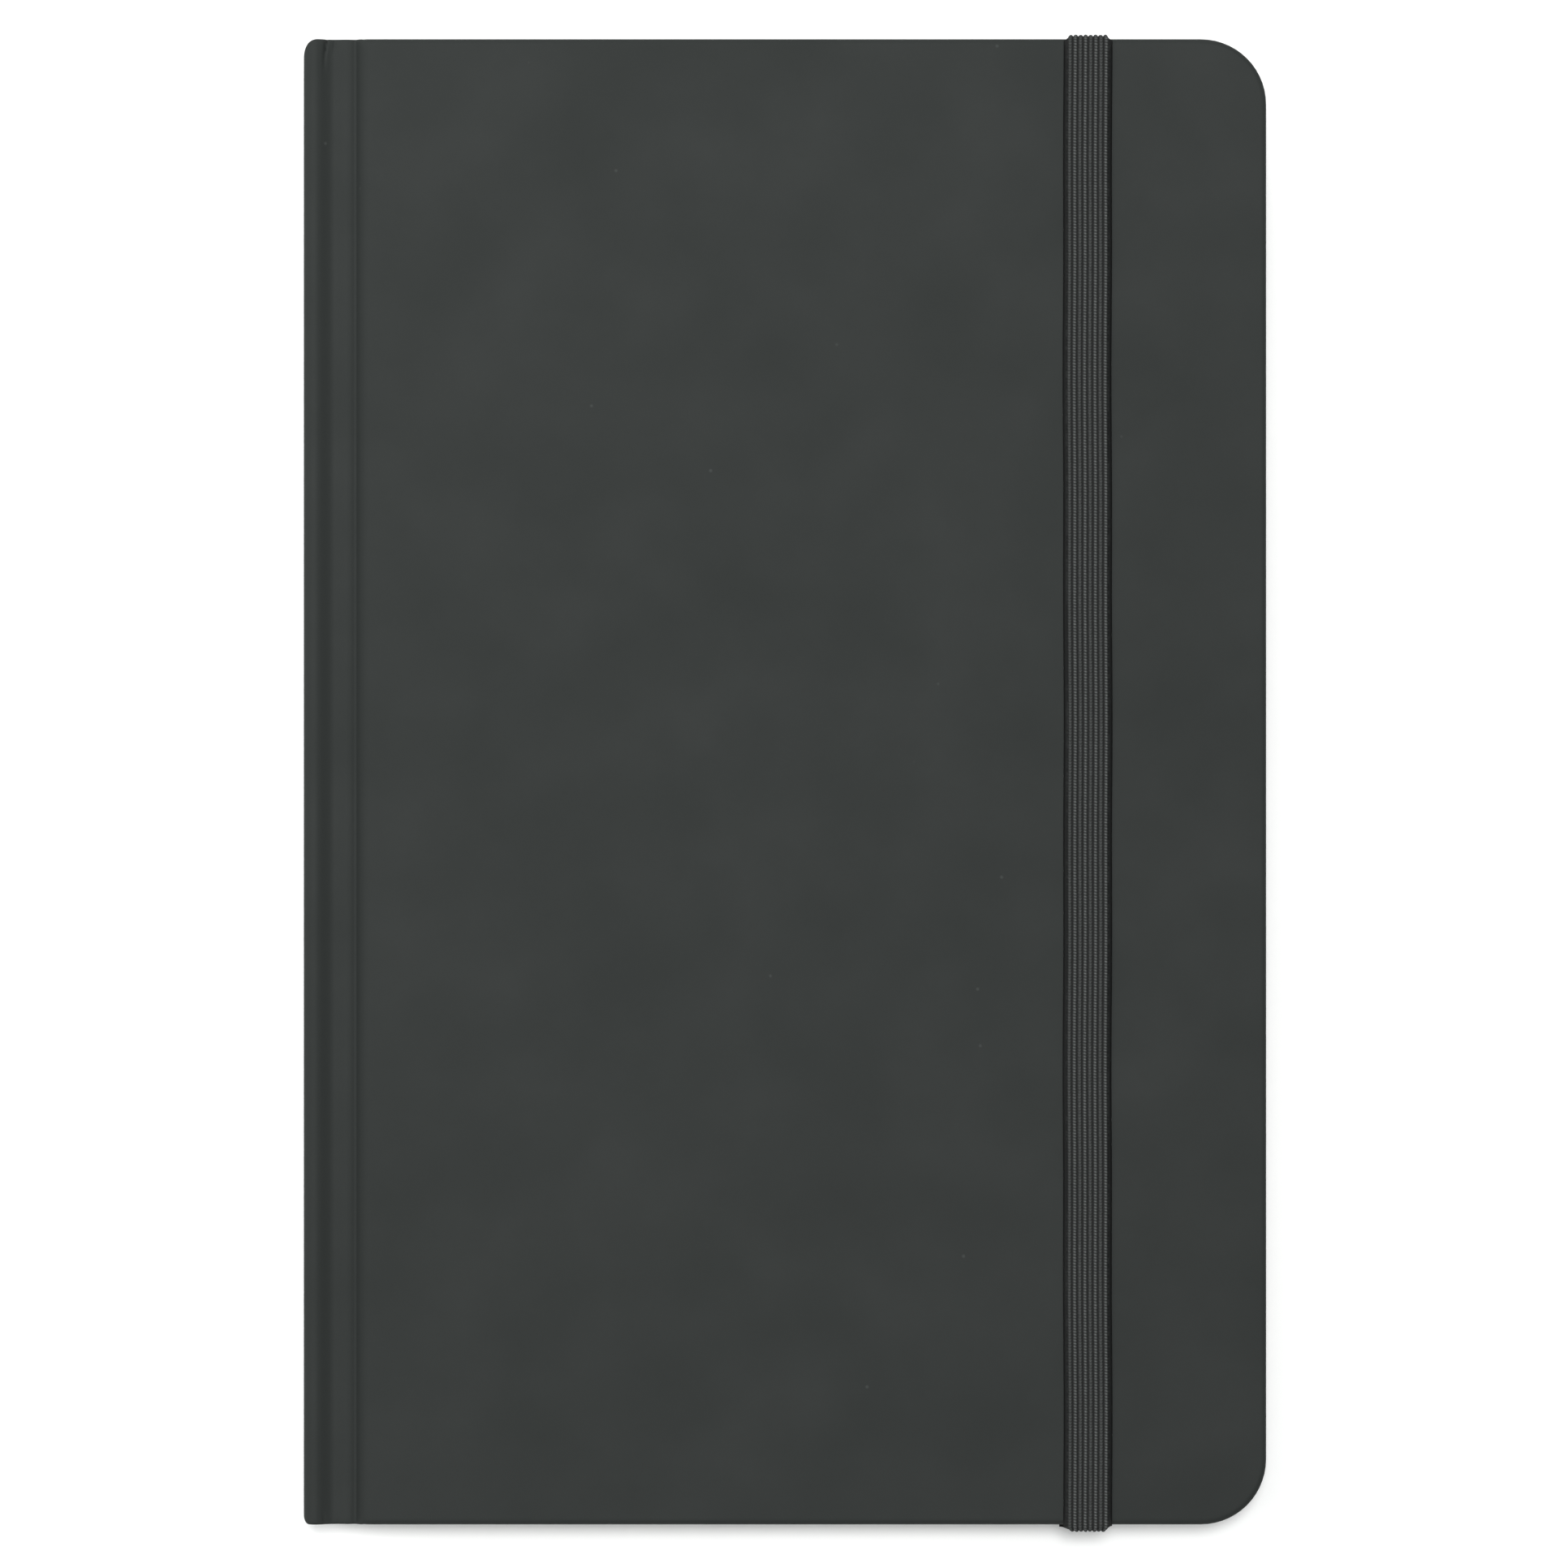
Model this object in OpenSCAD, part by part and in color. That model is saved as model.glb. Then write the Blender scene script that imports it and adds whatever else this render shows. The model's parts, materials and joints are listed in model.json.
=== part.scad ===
// Hardbound sketchbook with a sewn block of pages and an elastic closure.
// The book lies on its back cover. +X runs from the spine to the fore edge, +Y from the tail
// to the head and +Z from the back cover to the front cover. The origin is the middle of the
// face that it lies on. All lengths are in millimetres.

/* [Case] */
// Width of the closed book, spine to fore edge
cover_w = 140; // [120:1:180]
// Height of the cover, tail to head
cover_h = 216; // [180:1:260]
// Thickness of each grey board
board_t = 2; // [1.5:0.1:3]
// Thickness of the covering cloth
cloth_t = 0.35; // [0.25:0.05:0.5]
// Radius of the two fore-edge corners of each cover
corner_r = 9.5; // [4:0.5:14]
// Width of cloth that is turned in over the inside of a board
turn_in = 15; // [10:1:20]
// Distance from the outside of the spine to the edge of a board
board_inset = 9; // [8:0.5:11]
// Width of the flat lip of the spine, before the joint dips
spine_lip = 2; // [1.7:0.1:2.5]
// Depth of the pressed joint groove
groove_depth = 1.2; // [0.6:0.1:1.5]

/* [Pages] */
// Overhang of the cover around the pages
square_w = 3; // [2:0.5:5]
// Distance from the outside of the spine to the folds of the sections
block_inset = 3.6; // [3.5:0.1:4.5]
// Thickness of one leaf
leaf_t = 0.15; // [0.1:0.01:0.18]
// Thickness of one sewn section
section_t = 1.2; // [1:0.05:1.5]
// Radius of the fore-edge corners of the pages
page_corner_r = 7.5; // [3:0.5:12]

/* [Elastic] */
// Width of the elastic band
band_w = 6; // [4:0.5:9]
// Thickness of the elastic band
band_t = 0.95; // [0.8:0.05:1.2]
// Distance from the fore edge to the middle of the band
band_inset = 26; // [20:1:40]
// Distance from the head or tail to the slit that the band goes through
slit_inset = 11; // [9:0.5:14]
// Length of each end that is glued inside the back board
glued_length = 16; // [10:1:20]

/* [Hidden] */

cloth_colour = [0.235, 0.25, 0.245];
endpaper_colour = [0.87, 0.85, 0.8];
paper_colour = [0.95, 0.94, 0.9];
board_colour = [0.55, 0.53, 0.49];
elastic_colour = [0.15, 0.155, 0.155];
kraft_colour = [0.62, 0.5, 0.36];
gauze_colour = [0.86, 0.84, 0.76];
end_band_colour = [0.8, 0.78, 0.72];
thread_colour = [0.93, 0.92, 0.88];

// Counts and clearances
section_count = 10;
turning_leaves = 3;
leaf_gap = 0.05;
cover_gap = 0.1;
fit_gap = 0.05;
arc_steps = 14;
round_steps = 32;
inner_corner_r = 0.4;
cut = 1; // how far a cutting shape reaches past what it cuts

// Places across the book
spine_x = -cover_w / 2;
fore_x = cover_w / 2;
half_h = cover_h / 2;
board_x = spine_x + board_inset;
block_x = spine_x + block_inset;
page_x = fore_x - square_w;
page_half = half_h - square_w;
turning_x = block_x + 1; // leaves that turn start clear of the folds
paste_x = board_x + 0.5;
band_x = fore_x - band_inset;

// Levels from the lying face upwards
board_z = cloth_t;
turn_z = board_z + board_t;
paste_z = turn_z + cloth_t;
cover_t = paste_z + leaf_t;
block_z = cover_t + cover_gap;
section_z = block_z + leaf_t;
turning_t = leaf_t + leaf_gap;
fly_z = section_z + section_count * section_t + leaf_gap;
book_t = fly_z + leaf_t + cover_gap + cover_t;

// Layers on the back of the sewn block, from the folds outwards
thread_r = 0.2;
thread_x = block_x - fit_gap - thread_r;
mull_t = 0.2;
mull_x = thread_x - thread_r - fit_gap - mull_t;
mull_edge = 0.2;
lining_t = 0.25;
lining_x = mull_x - lining_t;
lining_edge = 0.3;
lining_half = page_half - 10;
strip_t = 0.9;
strip_x = spine_x + cloth_t + fit_gap;
strip_margin = 0.2;
shoulder_r = 1.6;
bead_r = 0.75;
bead_seat = 0.1; // how deep the bead of an end band sits in its tongue
tongue_gap = 0.3;
stations = [-90, -54, -18, 18, 54, 90];

// Elastic
band_z = book_t + fit_gap;
band_half = half_h + fit_gap + band_t;
run_t = 0.6;
channel_t = run_t + 2 * fit_gap;
slit_y = half_h - slit_inset;
riser_t = 0.7;
sliver = 0.01; // opens the recess without reaching the pastedown

// Joint groove: width of its slope from the spine and of its slope up to the board
fall_w = 3;
rise_w = 1.7;

// Points of an arc about c, from angle a0 to angle a1
function arc(c, r, a0, a1) =
    [for (i = [0 : arc_steps])
        let (a = a0 + (a1 - a0) * i / arc_steps) [c[0] + r * cos(a), c[1] + r * sin(a)]];

// A sheet from x0 to x1 that is 2 * half high, with two round corners at x1
function sheet_outline(x0, x1, half, r) =
    concat(
        [[x0, -half]],
        arc([x1 - r, r - half], r, -90, 0),
        arc([x1 - r, half - r], r, 0, 90),
        [[x0, half]]
    );

// Height of the joint groove below the cover at x, with its foot against the board
function dip(t) = t <= 0 ? 0 : t >= 1 ? 1 : t * t * (3 - 2 * t);
function groove(x) =
    groove_depth * dip((x - spine_x - spine_lip) / fall_w) * (1 - dip((x - board_x + rise_w) / rise_w));

module sheet(x0, x1, half, r, z0, z1) {
    translate([0, 0, z0])
        linear_extrude(z1 - z0)
            polygon(sheet_outline(x0, x1, half, r));
}

module box(low, high) {
    translate(low) cube(high - low);
}

// A profile drawn in X and Z, extruded along the whole height of the cover
module along_spine(points) {
    translate([0, half_h, 0])
        rotate([90, 0, 0])
            linear_extrude(cover_h)
                polygon(points);
}

// Turns a piece of the back cover over, to make it a piece of the front cover
module front_side() {
    translate([0, 0, book_t]) mirror([0, 0, 1]) children();
}

module tail_side() {
    mirror([0, 1, 0]) children();
}

// Covering cloth of one board: outer sheet, three edges and the turned-in border
module case_cloth() {
    color(cloth_colour)
        difference() {
            sheet(board_x, fore_x, half_h, corner_r, 0, paste_z);
            sheet(board_x - cut, fore_x - cloth_t, half_h - cloth_t, corner_r - cloth_t, board_z, turn_z);
            sheet(board_x - cut, fore_x - turn_in, half_h - turn_in, inner_corner_r,
                turn_z - cut, paste_z + cut);
        }
}

module case_board() {
    color(board_colour)
        sheet(board_x, fore_x - cloth_t, half_h - cloth_t, corner_r - cloth_t, board_z, turn_z);
}

// Endpaper glued inside a cover: it lies on the turned-in border and drops inside it
module pastedown() {
    drop_x = fore_x - turn_in - fit_gap;
    drop_half = half_h - turn_in - fit_gap;
    color(endpaper_colour)
        difference() {
            union() {
                sheet(paste_x, page_x, page_half, page_corner_r, paste_z, cover_t);
                sheet(paste_x, drop_x, drop_half, inner_corner_r, turn_z, cover_t);
            }
            sheet(paste_x - cut, drop_x - leaf_t, drop_half - leaf_t, inner_corner_r,
                turn_z + leaf_t, cover_t + cut);
        }
}

// Space in the back cover for one end of the elastic: channel, slit and glued recess
module end_space() {
    side = band_w / 2 + fit_gap;
    riser_y = slit_y - riser_t - fit_gap;
    box([band_x - side, riser_y, -cut], [band_x + side, half_h + cut, channel_t]);
    box([band_x - side, riser_y, -cut], [band_x + side, slit_y + fit_gap, turn_z + sliver]);
    box([band_x - side, slit_y - glued_length, turn_z - run_t - fit_gap],
        [band_x + side, slit_y + fit_gap, turn_z + sliver]);
}

// End of the elastic: run under the cover's edge, riser through the slit and glued tail
module elastic_end() {
    low_x = band_x - band_w / 2;
    high_x = band_x + band_w / 2;
    color(elastic_colour)
        union() {
            box([low_x, slit_y - riser_t, fit_gap], [high_x, band_half, fit_gap + run_t]);
            box([low_x, slit_y - riser_t, fit_gap], [high_x, slit_y, turn_z]);
            box([low_x, slit_y - glued_length + fit_gap, turn_z - run_t], [high_x, slit_y, turn_z]);
        }
}

module back_cover_cloth() {
    color(cloth_colour)
        difference() {
            case_cloth();
            end_space();
            tail_side() end_space();
        }
}

module back_board() {
    color(board_colour)
        difference() {
            case_board();
            end_space();
            tail_side() end_space();
        }
}

// Cloth folded over the head end of the spine strip
module spine_turn_in() {
    flap_x = strip_x + strip_t + fit_gap;
    low_z = shoulder_r;
    high_z = book_t - shoulder_r;
    box([spine_x + fit_gap, half_h - cloth_t, low_z], [flap_x + cloth_t, half_h, high_z]);
    box([flap_x, half_h - turn_in, low_z], [flap_x + cloth_t, half_h, high_z]);
}

// Cloth of the spine: round shoulders, a short lip on each side and turned-in ends
module spine_cloth() {
    lip_x = spine_x + spine_lip;
    inner_r = shoulder_r - cloth_t;
    centre_x = spine_x + shoulder_r;
    top_c = [centre_x, book_t - shoulder_r];
    low_c = [centre_x, shoulder_r];
    color(cloth_colour)
        union() {
            along_spine(concat(
                [[lip_x, book_t]], arc(top_c, shoulder_r, 90, 180),
                arc(low_c, shoulder_r, 180, 270), [[lip_x, 0], [lip_x, cloth_t]],
                arc(low_c, inner_r, 270, 180), arc(top_c, inner_r, 180, 90), [[lip_x, book_t - cloth_t]]
            ));
            spine_turn_in();
            tail_side() spine_turn_in();
        }
}

module spine_strip() {
    half = half_h - cloth_t - fit_gap;
    color(board_colour)
        box([strip_x, -half, shoulder_r - strip_margin],
            [strip_x + strip_t, half, book_t - shoulder_r + strip_margin]);
}

// Flexible strip of cloth between the spine's lip and the board
module joint_cloth() {
    x0 = spine_x + spine_lip + fit_gap;
    x1 = board_x - fit_gap;
    steps = 2 * arc_steps;
    xs = [for (i = [0 : steps]) x0 + (x1 - x0) * i / steps];
    color(cloth_colour)
        along_spine(concat(
            [for (x = xs) [x, book_t - groove(x)]],
            [for (i = [steps : -1 : 0]) [xs[i], book_t - groove(xs[i]) - cloth_t]]
        ));
}

module front_joint_cloth() {
    joint_cloth();
}

module back_joint_cloth() {
    front_side() joint_cloth();
}

module spine_lining() {
    color(kraft_colour)
        box([lining_x, -lining_half, section_z + lining_edge], [mull_x, lining_half, fly_z - lining_edge]);
}

module mull() {
    color(gauze_colour)
        box([mull_x, -lining_half, section_z + mull_edge], [mull_x + mull_t, lining_half, fly_z - mull_edge]);
}

// Sewn band: a round bead on the end of the pages, with a tongue glued to the spine
module end_band() {
    bead_x = mull_x + bead_r - bead_seat;
    bead_y = page_half + bead_r + fit_gap;
    low_z = section_z + bead_seat;
    bead_h = section_count * section_t - 2 * bead_seat;
    color(end_band_colour)
        union() {
            translate([bead_x, bead_y, low_z])
                cylinder(h = bead_h, r = bead_r, $fn = round_steps);
            box([mull_x - bead_seat, lining_half + tongue_gap, low_z],
                [mull_x + mull_t, bead_y, low_z + bead_h]);
        }
}

module head_band() {
    end_band();
}

module tail_band() {
    tail_side() end_band();
}

// Links of the sewing that tie each section to the next, outside the folds
module sewing_thread() {
    color(thread_colour)
        for (y = stations)
            translate([thread_x, y, section_z + section_t / 2])
                cylinder(h = (section_count - 1) * section_t, r = thread_r, $fn = round_steps);
}

// Sewn section of folded leaves, with its round fold at the spine
module section(index, t) {
    z = section_z + index * section_t;
    r = t / 2;
    color(paper_colour)
        union() {
            sheet(block_x + r, page_x, page_half, page_corner_r, z, z + t);
            translate([block_x + r, page_half, z + r])
                rotate([90, 0, 0])
                    cylinder(h = 2 * page_half, r = r, $fn = round_steps);
        }
}

// Leaf that turns with the front cover; above is how many leaves lie over it
module turning_leaf(above) {
    z = fly_z - above * turning_t;
    color(paper_colour)
        sheet(turning_x, page_x, page_half, page_corner_r, z, z + leaf_t);
}

module back_flyleaf() {
    color(paper_colour)
        sheet(block_x, page_x, page_half, page_corner_r, block_z, section_z);
}

module elastic_leg() {
    color(elastic_colour)
        box([band_x - band_w / 2, half_h + fit_gap, channel_t],
            [band_x + band_w / 2, band_half, book_t]);
}

module elastic_strand() {
    color(elastic_colour)
        box([band_x - band_w / 2, -band_half, band_z],
            [band_x + band_w / 2, band_half, band_z + band_t]);
}

back_cover_cloth();
back_board();
pastedown();  // back_pastedown
elastic_end();  // elastic_end_head
tail_side() elastic_end();  // elastic_end_tail
spine_cloth();
spine_strip();
front_joint_cloth();
back_joint_cloth();
spine_lining();
mull();
head_band();
tail_band();
sewing_thread();
back_flyleaf();
section(0, section_t);  // signature_01
section(1, section_t);  // signature_02
section(2, section_t);  // signature_03
section(3, section_t);  // signature_04
section(4, section_t);  // signature_05
section(5, section_t);  // signature_06
section(6, section_t);  // signature_07
section(7, section_t);  // signature_08
section(8, section_t);  // signature_09
section(9, section_t - turning_leaves * turning_t);  // signature_10
front_side() case_cloth();  // front_cover_cloth
front_side() case_board();  // front_board
front_side() pastedown();  // front_pastedown
turning_leaf(0);  // front_flyleaf
turning_leaf(1);  // leaf_1
turning_leaf(2);  // leaf_2
turning_leaf(3);  // leaf_3
elastic_leg();  // elastic_leg_head
tail_side() elastic_leg();  // elastic_leg_tail
elastic_strand();
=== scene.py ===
import json
import math

import bmesh
import bpy
import numpy as np
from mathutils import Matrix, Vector

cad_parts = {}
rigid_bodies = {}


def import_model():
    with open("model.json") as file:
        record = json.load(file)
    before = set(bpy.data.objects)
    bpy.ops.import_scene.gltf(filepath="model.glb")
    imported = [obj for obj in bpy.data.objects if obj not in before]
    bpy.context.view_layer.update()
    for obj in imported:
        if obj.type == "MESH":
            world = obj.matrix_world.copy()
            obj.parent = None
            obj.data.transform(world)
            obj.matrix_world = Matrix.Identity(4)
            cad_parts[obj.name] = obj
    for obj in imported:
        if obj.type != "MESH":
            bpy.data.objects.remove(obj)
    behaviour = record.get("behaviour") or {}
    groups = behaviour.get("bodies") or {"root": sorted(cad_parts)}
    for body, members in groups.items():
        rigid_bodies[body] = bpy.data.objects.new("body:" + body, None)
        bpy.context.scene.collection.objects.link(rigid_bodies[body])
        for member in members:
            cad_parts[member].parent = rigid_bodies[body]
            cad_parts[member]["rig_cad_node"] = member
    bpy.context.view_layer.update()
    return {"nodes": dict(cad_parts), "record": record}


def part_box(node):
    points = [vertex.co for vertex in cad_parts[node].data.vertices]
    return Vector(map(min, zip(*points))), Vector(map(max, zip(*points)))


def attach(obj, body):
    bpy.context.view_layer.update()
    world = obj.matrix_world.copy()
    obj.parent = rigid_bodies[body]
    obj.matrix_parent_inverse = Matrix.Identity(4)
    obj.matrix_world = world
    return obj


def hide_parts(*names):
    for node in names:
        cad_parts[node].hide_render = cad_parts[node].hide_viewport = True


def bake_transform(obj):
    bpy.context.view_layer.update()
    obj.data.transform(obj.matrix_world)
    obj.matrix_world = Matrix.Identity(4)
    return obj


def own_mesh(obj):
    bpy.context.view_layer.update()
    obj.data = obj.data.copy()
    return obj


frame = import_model()
random = np.random.default_rng(7)

MM = 0.001


def box_mm(node):
    """Lowest and highest corner of a CAD node, in millimetres."""
    low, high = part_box(node)
    return np.array(low) / MM, np.array(high) / MM


# Driving sizes from the frame, in millimetres
COVER_LOW, COVER_HIGH = box_mm("front_cover_cloth")
SPINE_LOW, _ = box_mm("spine_cloth")
PAGE_LOW, PAGE_HIGH = box_mm("signature_01")
FLY_LOW, FLY_HIGH = box_mm("front_flyleaf")
BACK_FLY_LOW, _ = box_mm("back_flyleaf")
PASTE_LOW, _ = box_mm("front_pastedown")
BAND_LOW, BAND_HIGH = box_mm("elastic_strand")
END_LOW, _ = box_mm("elastic_end_head")
SPINE_X = SPINE_LOW[0]
FORE_X = COVER_HIGH[0]
HALF_H = COVER_HIGH[1]
BOOK_T = COVER_HIGH[2]
BOARD_X = COVER_LOW[0]
BAND_X = (BAND_LOW[0] + BAND_HIGH[0]) / 2
BAND_W = BAND_HIGH[0] - BAND_LOW[0]
LEAF_T = FLY_HIGH[2] - FLY_LOW[2]
FOLD_X = PAGE_LOW[0]
PAGE_X = PAGE_HIGH[0]
PAGE_HALF = PAGE_HIGH[1]

# Sizes that the frame's boxes don't give
CORNER_R = 9.5       # fore-edge corners of the covers
PAGE_CORNER_R = 7.5
TURN_IN = 15.0       # width of the cloth turned in round each board
TURN_RAMP = 0.8      # width of the slope where it ends
CLOTH_T = 0.35
SHOULDER_R = 1.6     # long edges of the spine
SLIT_Y = 96.3        # slits in the back cover for the elastic


# ---------------------------------------------------------------- mesh tools

def smooth(t):
    """Smooth step from 0 to 1."""
    t = np.clip(t, 0, 1)
    return t * t * (3 - 2 * t)


def merge(steps):
    """Sorted values without near repeats."""
    values = np.unique(np.round(np.concatenate([np.atleast_1d(s) for s in steps]), 4))
    return values[np.r_[True, np.diff(values) > 1e-3]]


def surface(x, y, z):
    """Grid of points from coordinates that broadcast together."""
    return np.stack(np.broadcast_arrays(x, y, z), -1)


class Sheet:
    """Collects grids of points, in millimetres, that weld into one mesh."""

    def __init__(self):
        self.points = []
        self.faces = []
        self.values = []

    def grid(self, points, flip=False, value=None):
        """Adds a grid of points, shape (rows, columns, 3), with a value for each point."""
        rows, columns = points.shape[:2]
        start = sum(len(p) for p in self.points)
        index = start + np.arange(rows * columns).reshape(rows, columns)
        corners = [index[:-1, :-1], index[1:, :-1], index[1:, 1:], index[:-1, 1:]]
        quads = np.stack(corners, -1).reshape(-1, 4)
        self.points.append(points.reshape(-1, 3))
        self.faces.append(quads[:, ::-1] if flip else quads)
        shade = np.zeros(rows * columns) if value is None else value.reshape(-1)
        self.values.append(shade)

    def skin(self, low, high):
        """Adds two facing grids and the walls between their borders."""
        self.grid(low, flip=True)
        self.grid(high)
        for side in (0, -1):
            self.grid(np.stack([low[side], high[side]]))
            self.grid(np.stack([low[:, side], high[:, side]]))

    def piece(self, name, weld=1e-3, attribute=None, sharp=None):
        """Makes the object: doubled points welded, edges above the sharp angle kept crisp."""
        mesh = bpy.data.meshes.new(name)
        points = np.concatenate(self.points) * MM
        faces = np.concatenate(self.faces)
        mesh.from_pydata(points.tolist(), [], faces.tolist())
        if attribute:
            layer = mesh.attributes.new(attribute, "FLOAT", "POINT")
            layer.data.foreach_set("value", np.concatenate(self.values).astype(np.float32))
        shape = bmesh.new()
        shape.from_mesh(mesh)
        bmesh.ops.remove_doubles(shape, verts=shape.verts, dist=weld * MM)
        bmesh.ops.dissolve_degenerate(shape, dist=1e-5 * MM, edges=shape.edges)
        bmesh.ops.recalc_face_normals(shape, faces=shape.faces)
        shape.to_mesh(mesh)
        shape.free()
        mesh.polygons.foreach_set("use_smooth", [True] * len(mesh.polygons))
        if sharp:
            mesh.set_sharp_from_angle(angle=math.radians(sharp))
        piece = bpy.data.objects.new(name, mesh)
        bpy.context.scene.collection.objects.link(piece)
        return piece


def paint(piece, material):
    """Gives a piece its material."""
    piece.data.materials.clear()
    piece.data.materials.append(material)
    return piece


# ----------------------------------------------------------------- materials

class Nodes:
    """Short calls for building a material's node tree."""

    def __init__(self, name):
        self.material = bpy.data.materials.new(name)
        self.material.use_nodes = True
        self.tree = self.material.node_tree
        self.shader = self.tree.nodes["Principled BSDF"]
        self.place = self.add("ShaderNodeTexCoord").outputs["Object"]

    def add(self, kind, **settings):
        node = self.tree.nodes.new(kind)
        for key, value in settings.items():
            setattr(node, key, value)
        return node

    def link(self, output, socket):
        self.tree.links.new(output, socket)

    def scaled(self, x, y, z):
        """The object's coordinates, scaled."""
        mapping = self.add("ShaderNodeMapping")
        mapping.inputs["Scale"].default_value = (x, y, z)
        self.link(self.place, mapping.inputs["Vector"])
        return mapping.outputs["Vector"]

    def noise(self, scale, detail=3, roughness=0.5, vector=None):
        """Soft cloudy values."""
        node = self.add("ShaderNodeTexNoise")
        node.inputs["Scale"].default_value = scale
        node.inputs["Detail"].default_value = detail
        node.inputs["Roughness"].default_value = roughness
        self.link(vector or self.place, node.inputs["Vector"])
        return node.outputs["Fac"]

    def cells(self, scale):
        """Distance from the nearest of many scattered points."""
        node = self.add("ShaderNodeTexVoronoi", feature="F1")
        node.inputs["Scale"].default_value = scale
        self.link(self.place, node.inputs["Vector"])
        return node.outputs["Distance"]

    def wave(self, scale, direction, distortion=0.0):
        """Even bands across a direction."""
        node = self.add("ShaderNodeTexWave", bands_direction=direction)
        node.inputs["Scale"].default_value = scale
        node.inputs["Distortion"].default_value = distortion
        self.link(self.place, node.inputs["Vector"])
        return node.outputs["Fac"]

    def math(self, operation, a, b):
        """A sum or other operation on two outputs or numbers."""
        node = self.add("ShaderNodeMath", operation=operation)
        for socket, value in zip(node.inputs, (a, b)):
            if isinstance(value, (int, float)):
                socket.default_value = value
            else:
                self.link(value, socket)
        return node.outputs["Value"]

    def spread(self, value, low, high, to_low, to_high):
        """Maps a value from one range to another, clamped."""
        node = self.add("ShaderNodeMapRange")
        for socket, number in zip(node.inputs[1:5], (low, high, to_low, to_high)):
            socket.default_value = number
        self.link(value, node.inputs["Value"])
        return node.outputs["Result"]

    def colours(self, value, *stops):
        """A colour ramp; each stop is (position, (r, g, b))."""
        node = self.add("ShaderNodeValToRGB")
        ramp = node.color_ramp
        while len(ramp.elements) < len(stops):
            ramp.elements.new(0.5)
        for element, (position, colour) in zip(ramp.elements, stops):
            element.position = position
            element.color = (*colour, 1)
        self.link(value, node.inputs["Fac"])
        return node.outputs["Color"]

    def mix(self, amount, colour, other):
        """A colour, and another where amount is 1."""
        node = self.add("ShaderNodeMix", data_type="RGBA")
        self.link(amount, node.inputs["Factor"])
        self.link(colour, node.inputs[6])
        node.inputs[7].default_value = (*other, 1)
        return node.outputs[2]

    def bump(self, height, strength, distance_mm, below=None):
        """A bumped normal, on top of another one if below is given."""
        node = self.add("ShaderNodeBump")
        node.inputs["Strength"].default_value = strength
        node.inputs["Distance"].default_value = distance_mm * MM
        self.link(height, node.inputs["Height"])
        if below:
            self.link(below, node.inputs["Normal"])
        return node.outputs["Normal"]

    def base(self, colour):
        self.link(colour, self.shader.inputs["Base Color"])

    def normal(self, bumped):
        self.link(bumped, self.shader.inputs["Normal"])

    def set(self, **values):
        """Plain values on the shader's sockets."""
        for key, value in values.items():
            self.shader.inputs[key.replace("_", " ")].default_value = value


CLOTH_DARK = (0.0200, 0.0226, 0.0215)
CLOTH_LIGHT = (0.0214, 0.0241, 0.0230)
CLOTH_SPECK = (0.08, 0.086, 0.083)
PAINTED_LIGHT_SLOPE = (-0.7, 0.6, 0)      # painted light: how much lighter the cloth is painted, per metre, towards the spine and the head, as if the lamps lit it more there


def cloth_with_painted_light(m, colour):
    """The cloth's colour with painted light: made lighter towards the spine and the head, as if lit more
    strongly there.
    """
    falloff = m.add("ShaderNodeVectorMath", operation="DOT_PRODUCT")
    m.link(m.place, falloff.inputs[0])
    falloff.inputs[1].default_value = PAINTED_LIGHT_SLOPE
    painted_light_colour = m.add("ShaderNodeVectorMath", operation="SCALE")
    m.link(colour, painted_light_colour.inputs[0])
    m.link(m.math("ADD", falloff.outputs["Value"], 1.0), painted_light_colour.inputs["Scale"])
    return painted_light_colour.outputs["Vector"]


def cover_cloth_material():
    """Soft-touch book cloth: nearly smooth, with a very fine leather-like grain and faint scuffs, and
    painted light that makes it lighter towards the spine and the head.
    """
    m = Nodes("cover_cloth")
    tone = m.noise(9, detail=4, roughness=0.55)
    fine = m.noise(900, detail=2)
    grain = m.cells(2600)
    mottled = m.math("ADD", m.math("MULTIPLY", tone, 0.7), m.math("MULTIPLY", fine, 0.3))
    # painted light: the mottled colour is made lighter towards the spine and the head
    base = cloth_with_painted_light(m, m.colours(mottled, (0.3, CLOTH_DARK), (0.7, CLOTH_LIGHT)))
    specks = m.spread(m.cells(95), 0.012, 0.03, 0.3, 0)
    m.base(m.mix(specks, base, CLOTH_SPECK))
    rough = m.spread(m.noise(60, detail=5), 0.3, 0.7, 0.62, 0.74)
    m.link(rough, m.shader.inputs["Roughness"])
    pebble = m.bump(grain, 0.12, 0.05)
    waves = m.bump(m.noise(220, detail=3), 0.10, 0.12, pebble)
    m.normal(waves)
    m.set(Specular_IOR_Level=0.15)
    return m.material


# Colours of the knit by height, from the gaps to the crowns of the ribs: painted shade in the gaps, painted
# highlight on the crowns
KNIT_PAINTED_SHADE = [(0.25, (0.0040, 0.0044, 0.0043)), (0.5, (0.017, 0.0182, 0.0178)),
              (0.78, (0.045, 0.048, 0.047)), (1.0, (0.115, 0.121, 0.118))]


def elastic_material():
    """Knitted elastic: thread crowns painted light as highlight, gaps between the ribs painted dark as
    shade.
    """
    m = Nodes("elastic_band")
    relief = m.add("ShaderNodeAttribute", attribute_name="relief").outputs["Fac"]
    fibre = m.noise(5200, detail=2, vector=m.scaled(1, 0.35, 1))
    mixed = m.math("ADD", relief, m.math("MULTIPLY", m.math("SUBTRACT", fibre, 0.5), 0.35))
    # painted light and shade: the knit's height turns into colour, dark in the gaps and light on the crowns
    m.base(m.colours(mixed, *KNIT_PAINTED_SHADE))
    m.normal(m.bump(fibre, 0.35, 0.05))
    m.set(Roughness=0.78, Specular_IOR_Level=0.3)
    return m.material


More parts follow.
